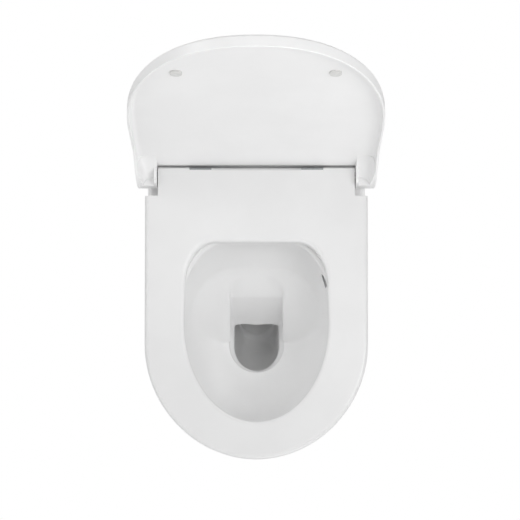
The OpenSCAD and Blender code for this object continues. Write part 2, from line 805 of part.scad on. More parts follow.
module right_release_button() {
    color("gainsboro") release_button();
}

module hinge_pin() {
    rod_x(block_in - 1, pin_end - 0.5, axis_y, axis_z, pin_r);
    rod_x(block_in - 14, block_in - 1, axis_y, axis_z, pin_r - 1);
}

module left_hinge_pin() {
    color("lightgray") mirror([1, 0, 0]) hinge_pin();
}

module right_hinge_pin() {
    color("lightgray") hinge_pin();
}

module damper() {
    difference() {
        rod_x(block_in - 2 - damper_length, block_in - 2, axis_y, axis_z, damper_r);
        rod_x(block_in - 15, block_in, axis_y, axis_z, pin_r - 1 + pin_play);
    }
}

module seat_damper() {
    color("dimgray") mirror([1, 0, 0]) damper();
}

module lid_damper() {
    color("dimgray") damper();
}

plate_x0 = 43;
plate_x1 = 93;
plate_y0 = axis_y - 30;
plate_y1 = axis_y + 11;

module plate_shape(z, h, corner) {
    translate([0, 0, z]) linear_extrude(h) difference() {
        union() {
            translate([plate_x0 + corner, plate_y0]) square([plate_x1 - plate_x0 - 2 * corner, plate_y1 - plate_y0]);
            translate([plate_x0, plate_y0 + corner]) square([plate_x1 - plate_x0, plate_y1 - plate_y0 - 2 * corner]);
            for (x = [plate_x0 + corner, plate_x1 - corner], y = [plate_y0 + corner, plate_y1 - corner])
                translate([x, y]) circle(r = corner);
        }
        translate([seat_hole_x, -seat_hole_out]) circle(r = 3.2);
    }
}

module base_plate() {
    difference() {
        plate_shape(plate_low, plate_thick, 6);
        translate([seat_hole_x, -seat_hole_out, plate_top - 2.4]) cylinder(h = 2.5, r1 = 3.2, r2 = 6.1);
    }
    translate([block_in + block_width / 2, axis_y, plate_top]) cylinder(h = stud_height, r = stud_r);
}

module left_base_plate() {
    color("lightgray") mirror([1, 0, 0]) base_plate();
}

module right_base_plate() {
    color("lightgray") base_plate();
}

module base_gaskets() {
    color("#7d7f80") both_sides() plate_shape(rim_z, gasket_thick, 6);
}

module seat_screws() {
    color("silver") for (x = [-seat_hole_x, seat_hole_x]) translate([x, -seat_hole_out, 0]) {
        translate([0, 0, rim_z - seat_hole_depth + 3]) cylinder(h = plate_top - rim_z + seat_hole_depth - 5.4, r = 3);
        translate([0, 0, plate_top - 2.4]) cylinder(h = 2.3, r1 = 3, r2 = 5.9);
    }
}

module seat_bushes() {
    color("#4a4c4e") for (x = [-seat_hole_x, seat_hole_x])
        translate([x, -seat_hole_out, rim_z - seat_hole_depth]) difference() {
            cylinder(h = seat_hole_depth, r = seat_hole_r);
            translate([0, 0, 2]) cylinder(h = seat_hole_depth, r = 3.05);
        }
}

// The wall fixing, inside the rear cavities

module wall_brackets() {
    color("#5b5e61") both_sides() difference() {
        translate([fixing_x - bracket_size / 2 + bracket_trim, -bracket_depth, -bracket_size / 2])
            cube([bracket_size - bracket_trim, bracket_depth, bracket_size]);
        rod_y(fixing_x, 0, -1, bracket_depth + 1, stud_hole_r);
        rod_x(fixing_x + bracket_size / 2 - clamp_grip - 1, far / 4, -clamp_y, 0, clamp_r + 0.05);
    }
}

module wall_washers() {
    color("silver") for (x = [-fixing_x, fixing_x]) difference() {
        rod_y(x, 0, bracket_depth, bracket_depth + washer_thick, washer_r);
        rod_y(x, 0, bracket_depth - 1, bracket_depth + washer_thick + 1, stud_hole_r);
    }
}

module wall_nuts() {
    low = bracket_depth + washer_thick;
    color("silver") for (x = [-fixing_x, fixing_x]) difference() {
        translate([x, -low, 0]) rotate([90, 0, 0]) cylinder(h = nut_height, r = nut_flats / sqrt(3), $fn = 6);
        rod_y(x, 0, low - 1, low + nut_height + 1, 6.05);
    }
}

flank_x = lerp(foot_half, pan_half_rear, flank(rim_z / pan_depth));

module clamp_screws() {
    color("silver") both_sides() {
        rod_x(fixing_x + bracket_size / 2 - clamp_grip, flank_x - 2, -clamp_y, 0, clamp_r);
        rod_x(flank_x - 5, flank_x - 1, -clamp_y, 0, clamp_r + 2);
    }
}

module clamp_bushes() {
    color("#e8e8e6") both_sides() difference() {
        rod_x(flank_x - ceramic_wall - 2, flank_x - 0.5, -clamp_y, 0, clamp_bush_r);
        rod_x(flank_x - ceramic_wall - 3, flank_x + 1, -clamp_y, 0, clamp_r + 0.1);
        rod_x(flank_x - 5, flank_x + 1, -clamp_y, 0, clamp_r + 2.1);
    }
}

module clamp_caps() {
    color(white_plastic) both_sides() rod_x(flank_x + 0.3, flank_x + 2.8, -clamp_y, 0, clamp_cap_r);
}

pan();
seat();
seat_buffers();
hinge_leaves();
leaf_screws();
lid();
lid_bumpers();
hinge_bar();
left_hinge_block();
right_hinge_block();
left_release_button();
right_release_button();
left_hinge_pin();
right_hinge_pin();
seat_damper();
lid_damper();
left_base_plate();
right_base_plate();
base_gaskets();
seat_screws();
seat_bushes();
wall_brackets();
wall_washers();
wall_nuts();
clamp_screws();
clamp_bushes();
clamp_caps();
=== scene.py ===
import json
import math

import bmesh
import bpy
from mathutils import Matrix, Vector


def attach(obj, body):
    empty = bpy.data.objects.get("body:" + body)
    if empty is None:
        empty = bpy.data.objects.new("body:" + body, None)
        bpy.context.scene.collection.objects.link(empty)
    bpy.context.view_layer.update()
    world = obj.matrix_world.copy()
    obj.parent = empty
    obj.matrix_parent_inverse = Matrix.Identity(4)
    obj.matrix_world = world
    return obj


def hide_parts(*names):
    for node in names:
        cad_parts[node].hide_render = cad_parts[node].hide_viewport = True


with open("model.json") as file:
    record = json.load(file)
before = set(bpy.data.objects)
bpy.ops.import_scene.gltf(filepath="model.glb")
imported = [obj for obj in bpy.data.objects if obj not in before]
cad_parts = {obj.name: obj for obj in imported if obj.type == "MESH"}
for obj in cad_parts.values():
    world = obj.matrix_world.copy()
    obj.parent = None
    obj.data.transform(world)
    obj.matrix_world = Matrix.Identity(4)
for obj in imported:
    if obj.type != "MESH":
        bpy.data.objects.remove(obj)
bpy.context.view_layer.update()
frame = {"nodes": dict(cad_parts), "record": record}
nodes = frame["nodes"]
print("stage: frame loaded")


# one hex colour as linear values with alpha
def srgb(code):
    parts = [int(code[i:i + 2], 16) / 255 for i in (1, 3, 5)]
    return tuple(c / 12.92 if c <= 0.04045 else ((c + 0.055) / 1.055) ** 2.4 for c in parts) + (1.0,)


def addNode(tree, kind, inputs=None, **settings):
    node = tree.nodes.new(kind)
    for name, value in settings.items():
        setattr(node, name, value)
    for name, value in (inputs or {}).items():
        if isinstance(value, bpy.types.NodeSocket):
            tree.links.new(value, node.inputs[name])
        else:
            node.inputs[name].default_value = value
    return node


def newMaterial(name):
    material = bpy.data.materials.new(name)
    material.use_nodes = True
    tree = material.node_tree
    tree.nodes.clear()
    shader = addNode(tree, "ShaderNodeBsdfPrincipled")
    output = addNode(tree, "ShaderNodeOutputMaterial")
    tree.links.new(shader.outputs["BSDF"], output.inputs["Surface"])
    place = addNode(tree, "ShaderNodeTexCoord").outputs["Object"]
    return material, tree, shader, place


def mapRange(tree, value, source, result):
    node = addNode(tree, "ShaderNodeMapRange", {"Value": value, "From Min": source[0], "From Max": source[1],
                                                "To Min": result[0], "To Max": result[1]})
    return node.outputs["Result"]


# two tones in soft patches
def mixTones(tree, place, tones, scale):
    noise = addNode(tree, "ShaderNodeTexNoise", {"Vector": place, "Scale": scale, "Detail": 3.0})
    mix = addNode(tree, "ShaderNodeMix", data_type="RGBA")
    tree.links.new(mapRange(tree, noise.outputs["Fac"], (0.4, 0.6), (0.0, 1.0)), mix.inputs["Factor"])
    mix.inputs["A"].default_value = srgb(tones[0])
    mix.inputs["B"].default_value = srgb(tones[1])
    return mix.outputs["Result"]


def bumpFrom(tree, place, scale, strength, distance):
    noise = addNode(tree, "ShaderNodeTexNoise", {"Vector": place, "Scale": scale, "Detail": 2.0})
    bump = addNode(tree, "ShaderNodeBump", {"Height": noise.outputs["Fac"], "Strength": strength,
                                            "Distance": distance})
    return bump.outputs["Normal"]


# a moulded or glazed finish: two close tones, a varied roughness and a fine relief
def plainMaterial(settings):
    material, tree, shader, place = newMaterial(settings["name"])
    tone = mixTones(tree, place, settings["tones"], settings["toneScale"])
    tree.links.new(tone, shader.inputs["Base Color"])
    rough = addNode(tree, "ShaderNodeTexNoise",
                    {"Vector": place, "Scale": settings["roughScale"], "Detail": 4.0})
    tree.links.new(mapRange(tree, rough.outputs["Fac"], (0.3, 0.7), settings["roughness"]),
                   shader.inputs["Roughness"])
    shader.inputs["Metallic"].default_value = settings.get("metallic", 0.0)
    shader.inputs["IOR"].default_value = 1.5
    coat, coatRoughness = settings.get("coat", (0.0, 0.05))
    shader.inputs["Coat Weight"].default_value = coat
    shader.inputs["Coat Roughness"].default_value = coatRoughness
    tree.links.new(bumpFrom(tree, place, *settings["bump"]), shader.inputs["Normal"])
    return material


# bump holds its scale, strength and distance; coat its weight and roughness
finishes = {
    "glaze": {"name": "glaze", "tones": ("#f6f6f6", "#f4f4f4"), "toneScale": 9.0, "roughness": (0.28, 0.34),
              "roughScale": 60.0, "bump": (22.0, 0.015, 0.0008), "coat": (0.1, 0.12)},
    "seat_plastic": {"name": "seatPlastic", "tones": ("#e6e6e6", "#e4e4e4"), "toneScale": 12.0,
                     "roughness": (0.28, 0.34), "roughScale": 90.0, "bump": (240.0, 0.01, 0.00002)},
    "lid_plastic": {"name": "lidPlastic", "tones": ("#f2f2f2", "#f0f0f0"), "toneScale": 12.0,
                    "roughness": (0.3, 0.36), "roughScale": 90.0, "bump": (240.0, 0.0, 0.00002)},
    "soft_pad": {"name": "softPad", "tones": ("#dcdcda", "#d4d4d2"), "toneScale": 200.0,
                 "roughness": (0.5, 0.65), "roughScale": 300.0, "bump": (1400.0, 0.2, 0.0001)},
    "hinge_metal": {"name": "hingeMetal", "tones": ("#9c9ea0", "#939597"), "toneScale": 300.0,
                    "roughness": (0.27, 0.36), "roughScale": 500.0, "bump": (1500.0, 0.1, 0.00005),
                    "metallic": 1.0},
    "screw_steel": {"name": "screwSteel", "tones": ("#b8babc", "#a9abad"), "toneScale": 400.0,
                    "roughness": (0.28, 0.4), "roughScale": 500.0, "bump": (1800.0, 0.15, 0.00005),
                    "metallic": 1.0},
    "bar_plastic": {"name": "barPlastic", "tones": ("#8b8d8f", "#838587"), "toneScale": 200.0,
                    "roughness": (0.4, 0.55), "roughScale": 400.0, "bump": (1500.0, 0.15, 0.00008)},
    "button_plastic": {"name": "buttonPlastic", "tones": ("#a9abad", "#a0a2a4"), "toneScale": 300.0,
                       "roughness": (0.35, 0.5), "roughScale": 400.0, "bump": (1500.0, 0.15, 0.00008)},
    "pin_steel": {"name": "pinSteel", "tones": ("#c2c4c6", "#b6b8ba"), "toneScale": 500.0,
                  "roughness": (0.15, 0.22), "roughScale": 600.0, "bump": (2000.0, 0.08, 0.00004),
                  "metallic": 1.0},
    "damper_plastic": {"name": "damperPlastic", "tones": ("#3c3d3f", "#333436"), "toneScale": 250.0,
                       "roughness": (0.4, 0.55), "roughScale": 400.0, "bump": (1500.0, 0.15, 0.00008)},
    "plate_steel": {"name": "plateSteel", "tones": ("#c0c2c4", "#b2b4b6"), "toneScale": 250.0,
                    "roughness": (0.28, 0.42), "roughScale": 450.0, "bump": (1600.0, 0.12, 0.00005),
                    "metallic": 1.0},
    "gasket_rubber": {"name": "gasketRubber", "tones": ("#6a6b6c", "#606162"), "toneScale": 300.0,
                      "roughness": (0.6, 0.75), "roughScale": 300.0, "bump": (1200.0, 0.3, 0.0001)},
    "bush_plastic": {"name": "bushPlastic", "tones": ("#5a5c5e", "#505254"), "toneScale": 300.0,
                     "roughness": (0.4, 0.55), "roughScale": 400.0, "bump": (1500.0, 0.15, 0.00008)},
    "bracket_plastic": {"name": "bracketPlastic", "tones": ("#4a4c4e", "#424446"), "toneScale": 120.0,
                        "roughness": (0.45, 0.6), "roughScale": 300.0, "bump": (900.0, 0.25, 0.0002)},
    "cap_plastic": {"name": "capPlastic", "tones": ("#eeeeee", "#eaeaea"), "toneScale": 60.0,
                    "roughness": (0.28, 0.34), "roughScale": 200.0, "bump": (240.0, 0.01, 0.00002)},
}
materials = {slot: plainMaterial(settings) for slot, settings in finishes.items()}
for entry in frame["record"]["subparts"]:
    target = nodes.get(entry["node"])
    if target is None:
        continue
    for slot in target.material_slots:
        slot.material = materials[entry["material_slot"]]
print("stage: materials made")


def lerp(a, b, t):
    return a + (b - a) * t


# goes smoothly from 0 to 1
def eased(t):
    t = min(max(t, 0.0), 1.0)
    return t * t * (3 - 2 * t)


# falls from 1 to 0, slowly at first, as the wall of a bowl does
def wallCurve(t, powers):
    return max(1 - t ** powers[0], 0.0) ** powers[1]


# angles from 0 to a right angle
def quarterTurn(steps):
    return [math.pi / 2 * k / steps for k in range(steps + 1)]


# right half of an outline in millimetres, from its front middle to its rear middle: a round front as wide
# as wf, from yf back to ys, then a side that ends wr wide, and a corner of cx by cy at the rear yr
def halfOutline(wr, wf, yr, ys, yf, power, cx, cy):
    sideSteps = 40
    points = [(wf * math.sin(s) ** (2 / power), ys - (ys - yf) * math.cos(s) ** (2 / power))
              for s in quarterTurn(160)]
    points += [(lerp(wf, wr, k / sideSteps), lerp(ys, yr - cy, k / sideSteps))
               for k in range(1, sideSteps + 1)]
    points += [(wr - cx + cx * math.cos(s), yr - cy + cy * math.sin(s)) for s in quarterTurn(30)[1:]]
    return points + [(0.0, yr)]


# the same half outline with evenly spaced points, one more than count
def evenly(points, count):
    marks = [0.0]
    for a, b in zip(points, points[1:]):
        marks.append(marks[-1] + math.hypot(b[0] - a[0], b[1] - a[1]))
    result = []
    k = 0
    for j in range(count + 1):
        aim = marks[-1] * j / count
        while k < len(marks) - 2 and marks[k + 1] < aim:
            k += 1
        t = (aim - marks[k]) / max(marks[k + 1] - marks[k], 1e-9)
        result.append((lerp(points[k][0], points[k + 1][0], t), lerp(points[k][1], points[k + 1][1], t)))
    return result


# a whole ring from its right half, starting at the front middle
def closedRing(half):
    return half + [(-x, y) for x, y in reversed(half[1:-1])]


def ringAt(count, z, *outline):
    return [(x, y, z) for x, y in closedRing(evenly(halfOutline(*outline), count))]


# adds a skin over rings of equal length to a bmesh; around joins the last ring to the first
def addSkin(form, rings, around=False):
    rows = [[form.verts.new((x / 1000, y / 1000, z / 1000)) for x, y, z in ring] for ring in rings]
    count = len(rows[0])
    faces = []
    for low, high in list(zip(rows, rows[1:])) + ([(rows[-1], rows[0])] if around else []):
        for j in range(count):
            k = (j + 1) % count
            faces.append(form.faces.new((low[j], low[k], high[k], high[j])))
    if not around:
        faces.append(form.faces.new(list(reversed(rows[0]))))
        faces.append(form.faces.new(rows[-1]))
    bmesh.ops.recalc_face_normals(form, faces=faces)


def skinForm(rings, around=False):
    form = bmesh.new()
    addSkin(form, rings, around)
    return form


# a box between two corners
def boxForm(low, high):
    form = bmesh.new()
    for vert in bmesh.ops.create_cube(form, size=1.0)["verts"]:
        vert.co = Vector([lerp(low[a], high[a], vert.co[a] + 0.5) / 1000 for a in range(3)])
    return form


# one rod for each start and end
def rodForm(radius, segments, *spans):
    form = bmesh.new()
    for start, end in spans:
        start, end = Vector(start) / 1000, Vector(end) / 1000
        made = bmesh.ops.create_cone(form, cap_ends=True, segments=segments, radius1=radius / 1000,
                                     radius2=radius / 1000, depth=(end - start).length)
        turn = (end - start).to_track_quat("Z", "Y")
        for vert in made["verts"]:
            vert.co = turn @ vert.co + (start + end) / 2
    return form


# one bar for each span in x; its section is given as y and z
def profileForm(section, *spans):
    form = bmesh.new()
    for span in spans:
        addSkin(form, [[(x, y, z) for y, z in section] for x in span])
    return form


# a tube along a path, whose sections hold the direction side
def tubeForm(path, radius, side, sides):
    side = Vector(side)
    angles = [2 * math.pi * k / sides for k in range(sides)]
    rings = []
    for i, point in enumerate(path):
        ahead = (path[min(i + 1, len(path) - 1)] - path[max(i - 1, 0)]).normalized()
        u = ahead.cross(side).normalized()
        v = u.cross(ahead)
        rings.append([point + radius * (math.cos(a) * v + math.sin(a) * u) for a in angles])
    return skinForm(rings)


# a smooth path through points, with so many steps between each two
def smoothPath(points, steps):
    points = [Vector(p) for p in points]
    result = []
    for i in range(len(points) - 1):
        a, b = points[max(i - 1, 0)], points[i]
        c, d = points[i + 1], points[min(i + 2, len(points) - 1)]
        for k in range(steps):
            t = k / steps
            result.append(0.5 * (2 * b + (c - a) * t + (2 * a - 5 * b + 4 * c - d) * t * t
                                 + (3 * b - a - 3 * c + d) * t ** 3))
    return result + [points[-1]]


def addObject(name, form):
    mesh = bpy.data.meshes.new(name)
    form.to_mesh(mesh)
    form.free()
    made = bpy.data.objects.new(name, mesh)
    bpy.context.scene.collection.objects.link(made)
    return made


def applyModifiers(target):
    graph = bpy.context.evaluated_depsgraph_get()
    graph.update()
    result = bpy.data.meshes.new_from_object(target.evaluated_get(graph))
    target.modifiers.clear()
    old = target.data
    target.data = result
    bpy.data.meshes.remove(old)


# cuts a bmesh's closed forms out of an object, or joins them to it
def cutAway(target, form, operation="DIFFERENCE"):
    tool = addObject("tool", form)
    change = target.modifiers.new("change", "BOOLEAN")
    change.operation = operation
    change.solver = "MANIFOLD"
    change.object = tool
    applyModifiers(target)
    bpy.data.objects.remove(tool)


def softEdges(target, width, segments):
    bevel = target.modifiers.new("bevel", "BEVEL")
    bevel.width = width
    bevel.segments = segments
    bevel.limit_method = "ANGLE"
    bevel.angle_limit = math.radians(50)
    bevel.harden_normals = False
    applyModifiers(target)


def shadeSmooth(target, angle):
    target.data.polygons.foreach_set("use_smooth", [True] * len(target.data.polygons))
    target.data.set_sharp_from_angle(angle=math.radians(angle))


# large flat faces keep their own direction and the small roundings beside them bend towards it
def flattenNormals(target):
    change = target.modifiers.new("normals", "WEIGHTED_NORMAL")
    change.mode = "FACE_AREA"
    change.weight = 100
    change.keep_sharp = True
    applyModifiers(target)


def finishPiece(piece, body, slotName, *replaced):
    piece.data.materials.clear()
    piece.data.materials.append(materials[slotName])
    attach(piece, body)
    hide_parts(*replaced)


# the pan's top, and the axis that seat and lid turn about
rimZ = 78.0
axisY, axisZ = -96.0, 101.5
far = 400.0  # beyond every form except at the front, for cuts that go right through
past = 1.0  # how much a cut starts outside the face that it enters

panShape = {
    "count": 110, "centre": 345.0, "depth": 328.0, "reach": 539.0, "nose": 176.0, "behind": 30.0,
    "halfRear": 174.0, "halfFront": 171.0, "footHalf": 112.0, "footTaper": 6.0, "footReach": 250.0,
    "flank": (3.2, 0.6), "keel": (2.7, 0.66), "footPower": 2.2, "rimPower": 1.97, "corner": 3.0,
    "rimRound": 8.0,
    "bowlHalf": 119.0, "bowlRear": 197.0, "bowlFront": 494.0, "bowlDepth": 148.0, "bowlNose": 159.0,
    "bowlWall": (2.2, 0.6), "bowlPower": 2.05, "bowlSlant": 0.066, "bowlFoot": (2.0, 1.0),
    "cornerWide": (0.55, 0.68), "cornerLong": (0.5, 0.92), "cornerMost": 0.9,
    "shelfStart": 36.0, "shelfLevel": 0.48, "shelfEnd": 30.0, "shelfPowers": (2.2, 0.62), "blend": 5.0,
    "channelHalf": 43.0, "channelFront": 391.0, "channelClose": 14.0, "chuteRear": 274.0, "chuteDepth": 100.0,
    "spillLength": 39.0, "spillRise": 25.0, "spillFlare": 4.0, "spillCorner": (38.0, 17.0),
    "slotCorner": 5.0, "slotPower": 2.0,
    "sumpHalf": 37.0, "sumpRear": 312.0, "sumpMid": 348.0, "sumpFront": 389.0, "sumpFloor": 283.0,
    "sumpWall": (2.2, 0.5), "sumpEnd": 23.0, "sumpLeast": 0.02, "sumpNarrow": 0.35,
    "undercut": 26.0, "undercutTall": 55.0,
    "mouthTall": 10.0, "mouthGrow": 2.45, "mouthTurn": 130.0, "mouthFade": 40.0,
    "trapRadius": 29.0, "ductRadius": 13.0,
    "trapPath": ((0, -342, -171), (0, -318, -173), (0, -290, -168), (0, -248, -135), (0, -213, -82),
                 (0, -177, -66), (0, -143, -78), (0, -105, -94), (0, -60, -100)),
    "ductPath": ((0, -39, 41), (14, -80, 44), (48, -132, 50), (87, -180, 52), (113, -222, 53),
                 (117, -268, 53)),
    "outletZ": -100.0, "outletBore": 44.0, "outletDeep": 75.0, "spigot": 51.0, "groove": 66.0,
    "grooveDeep": 42.0, "inletZ": 35.0, "inletRadius": 27.5, "inletDeep": 45.0,
    "cavityIn": 72.0, "cavityDeep": 168.0, "cavityWall": 14.0, "cavityTop": (4.0, 22.0),
    "cavityFoot": 22.0, "cavityNarrow": 10.0,
    "holeRadius": 7.5, "clampX": 90.0, "clampY": -28.0,
    "seatHoleX": 77.5, "seatHoleY": -110.0, "seatHoleDeep": 42.0, "wallSpacing": 0.72, "bowlSpacing": 0.85,
}


def panOuterRing(shape, t, inset, z):
    flank, keel = wallCurve(t, shape["flank"]), wallCurve(t, shape["keel"])
    wr = lerp(shape["footHalf"], shape["halfRear"], flank) - inset
    wf = lerp(shape["footHalf"] - shape["footTaper"], shape["halfFront"], flank) - inset
    reach = lerp(shape["footReach"], shape["reach"], keel) - inset
    nose = lerp(shape["footHalf"], shape["nose"], keel) - inset
    return ringAt(shape["count"], z, wr, wf, shape["behind"], -(reach - nose), -reach,
                  lerp(shape["footPower"], shape["rimPower"], keel), shape["corner"], shape["corner"])


# the bowl's rear wall at a depth from 0 to 1: steep, then the shelf that leads to the channel
def bowlBack(shape, u):
    shelf = shape["bowlRear"] + shape["shelfStart"]
    level = shape["shelfLevel"]
    upper, lower = shape["shelfPowers"]
    if u < level:
        return lerp(shape["bowlRear"], shelf, (u / level) ** upper)
    return lerp(shelf, shape["sumpRear"] + shape["shelfEnd"], ((u - level) / (1 - level)) ** lower)


def bowlHalfOutline(shape, u):
    taper = wallCurve(u, shape["bowlWall"])
    channel = shape["channelHalf"]
    footWide, footLong = shape["bowlFoot"]
    w = lerp(channel + footWide, shape["bowlHalf"], taper)
    front = lerp(shape["channelFront"] + footLong, shape["bowlFront"], taper)
    back = bowlBack(shape, u)
    split = -lerp(shape["sumpMid"], shape["bowlFront"] - shape["bowlNose"], taper)
    (wideLow, wideHigh), (longLow, longHigh) = shape["cornerWide"], shape["cornerLong"]
    side = -back - split
    cx = lerp(w * wideLow, w * wideHigh, taper)
    cy = min(lerp(channel * longLow, shape["bowlHalf"] * longHigh, taper), side * shape["cornerMost"])
    return halfOutline(w - shape["bowlSlant"] * (side - cy), w, -back, split, -front,
                       shape["bowlPower"], cx, cy)


# the straight-sided channel that drops into the sump: undercut below, then chute and spillway
def slotHalfOutline(shape, z):
    sumpLow = rimZ - shape["bowlDepth"] - shape["channelClose"]
    chuteZ = rimZ - shape["chuteDepth"]
    spill = (z - chuteZ) / shape["spillRise"]
    if z < sumpLow:
        rear = shape["sumpRear"] - shape["undercut"] * eased((sumpLow - z) / shape["undercutTall"])
    elif z < chuteZ:
        rear = lerp(shape["sumpRear"], shape["chuteRear"], (z - sumpLow) / (chuteZ - sumpLow))
    else:
        rear = lerp(shape["chuteRear"], shape["chuteRear"] - shape["spillLength"], min(spill, 1.0))
    close, flare = eased((z - sumpLow) / shape["channelClose"]), eased(spill)
    half = lerp(shape["sumpHalf"], shape["channelHalf"], close) + shape["spillFlare"] * flare
    front = lerp(shape["sumpFront"], shape["channelFront"], close)
    cx, cy = (shape["slotCorner"] + most * flare for most in shape["spillCorner"])
    return halfOutline(half, half, -rear, -shape["sumpMid"], -front, shape["slotPower"], cx, cy)


# distances from the centre to a half outline, at evenly spaced directions from front to rear
def polarHalf(points, centre, count):
    turned = [math.atan2(x, -(y - centre)) for x, y in points]
    result = []
    k = 0
    for j in range(count + 1):
        aim = math.pi * j / count
        while k < len(turned) - 2 and turned[k + 1] < aim:
            k += 1
        t = min(max((aim - turned[k]) / max(turned[k + 1] - turned[k], 1e-9), 0.0), 1.0)
        x = lerp(points[k][0], points[k + 1][0], t)
        y = lerp(points[k][1], points[k + 1][1], t)
        result.append(math.hypot(x, y - centre))
    return result


# the greater of two values, with the change from one to the other rounded off
def blendMax(a, b, width):
    gap = max(width - abs(a - b), 0.0)
    return max(a, b) + gap * gap / (4 * width)


# one level of the bowl and its channel, blended into each other round a fixed centre
def bowlRingAt(shape, z):
    centre, count = -shape["centre"], shape["count"]
    sumpZ = rimZ - shape["bowlDepth"]
    sumpLow = sumpZ - shape["channelClose"]
    floorZ = rimZ - shape["sumpFloor"]
    radii = polarHalf(slotHalfOutline(shape, z), centre, count)
    if z > sumpZ:
        u = (rimZ - shape["rimRound"] - z) / (shape["bowlDepth"] - shape["rimRound"])
        bowlRadii = polarHalf(bowlHalfOutline(shape, min(max(u, 0.0), 1.0)), centre, count)
        radii = [blendMax(a, b, shape["blend"]) for a, b in zip(bowlRadii, radii)]
    else:
        edge = (1 - eased((sumpZ - z) / shape["mouthTall"])) * shape["mouthGrow"]
        radii = [r + edge * eased((shape["mouthTurn"] - 180 * j / count) / shape["mouthFade"])
                 for j, r in enumerate(radii)]
    sink = min(max((sumpLow - z) / (sumpLow - floorZ), 0.0), 1.0)
    keep = max(wallCurve(sink, shape["sumpWall"]), shape["sumpLeast"])
    half = []
    for j, r in enumerate(radii):
        a = math.pi * j / count
        half.append((r * math.sin(a) * keep ** shape["sumpNarrow"],
                     lerp(shape["sumpEnd"] - shape["sumpMid"], centre - r * math.cos(a), keep)))
    return [(x, y, z) for x, y in closedRing(half)]


# the rim's inner rounding: the bowl's first ring, wider towards the top
def rimRings(shape):
    rounding, centre = shape["rimRound"], shape["centre"]
    flat = bowlRingAt(shape, rimZ - rounding)
    rings = []
    for s in reversed(quarterTurn(8)):
        ring = []
        for x, y, z in flat:
            grow = 1 + rounding * (1 - math.cos(s)) / math.hypot(x, y + centre)
            ring.append((x * grow, -centre + (y + centre) * grow, rimZ - rounding * (1 - math.sin(s))))
        rings.append(ring)
    return rings


# heights of the rings in the bowl, the channel's end and the sump
def bowlLevels(shape):
    rounding, depth, steps = shape["rimRound"], shape["bowlDepth"], 60
    levels = [rimZ - rounding - (depth - rounding) * (k / steps) ** shape["bowlSpacing"]
              for k in range(1, steps + 1)]
    levels += [rimZ - depth - shape["channelClose"] * k / 10 for k in range(1, 11)]
    top, floorZ = levels[-1], rimZ - shape["sumpFloor"]
    return levels + [lerp(top, floorZ, math.sin(s)) for s in quarterTurn(35)[1:]]


# one of the two cavities behind the pan, which follow its flank
def cavityForm(shape, side):
    wall, depth, steps, sideSteps = shape["cavityWall"], shape["depth"], 5, 15
    rings = []
    for k in range(steps + 1):
        t = k / steps
        high = rimZ - wall - lerp(*shape["cavityTop"], t)
        low = rimZ - depth + wall + shape["cavityFoot"] * t
        points = [(shape["cavityIn"], high), (shape["cavityIn"], low)]
        for j in range(sideSteps, -1, -1):
            z = lerp(high, low, j / sideSteps)
            flank = wallCurve((rimZ - z) / depth, shape["flank"])
            half = lerp(shape["footHalf"], shape["halfFront"], flank)
            points.append((half - wall - shape["cavityNarrow"] * t, z))
        rings.append([(side * x, lerp(past, -shape["cavityDeep"], t), z) for x, z in points])
    return skinForm(rings)


def buildPan(shape):
    rounding, outerSteps = shape["rimRound"], 64
    rings = []
    for k in range(outerSteps):
        t = (1 - k / outerSteps) ** shape["wallSpacing"]
        rings.append(panOuterRing(shape, t, 0.0, rimZ - shape["depth"] * t))
    for s in quarterTurn(10):
        inset, fall = rounding * (1 - math.cos(s)), rounding * (1 - math.sin(s))
        rings.append(panOuterRing(shape, 0.0, inset, rimZ - fall))
    rings.append(panOuterRing(shape, 0.0, rounding + 1.0, rimZ))
    rings += rimRings(shape) + [bowlRingAt(shape, z) for z in bowlLevels(shape)]
    pan = addObject("panBody", skinForm(rings))
    print("stage: pan skin", len(pan.data.polygons))

    # the flat back, then the trap, the flush duct, the outlet and the inlet
    cutAway(pan, boxForm((-far, 0, -far), (far, far, far)))
    trap, duct = smoothPath(shape["trapPath"], 8), smoothPath(shape["ductPath"], 6)
    cutAway(pan, tubeForm(trap, shape["trapRadius"], (1, 0, 0), 40))
    cutAway(pan, tubeForm(duct, shape["ductRadius"], (0, 0, 1), 28))
    outletZ, inletZ = shape["outletZ"], shape["inletZ"]
    cutAway(pan, rodForm(shape["outletBore"], 96, ((0, past, outletZ), (0, -shape["outletDeep"], outletZ))))
    cutAway(pan, rodForm(shape["inletRadius"], 72, ((0, past, inletZ), (0, -shape["inletDeep"], inletZ))))
    # the groove round the outlet's spigot
    spigot, groove, deep = shape["spigot"], shape["groove"], -shape["grooveDeep"]
    turns = [2 * math.pi * k / 96 for k in range(96)]
    corners = ((spigot, past), (groove, past), (groove, deep), (spigot, deep))
    cutAway(pan, skinForm([[(r * math.cos(a), y, outletZ + r * math.sin(a)) for a in turns]
                           for r, y in corners], True))
    # the rear cavities, and the holes for the clamp screws and the seat's screws
    x, y, clampX, clampY = shape["seatHoleX"], shape["seatHoleY"], shape["clampX"], shape["clampY"]
    seatHoleZ = rimZ - shape["seatHoleDeep"]
    for side in (-1, 1):
        cutAway(pan, cavityForm(shape, side))
        cutAway(pan, rodForm(shape["holeRadius"], 48, ((side * clampX, clampY, 0), (side * far, clampY, 0))))
        cutAway(pan, rodForm(shape["holeRadius"], 48, ((side * x, y, seatHoleZ), (side * x, y, far))))
    print("stage: pan cut", len(pan.data.polygons))
    shadeSmooth(pan, 35.0)
    return pan


finishPiece(buildPan(panShape), "pan", "glaze", "pan")

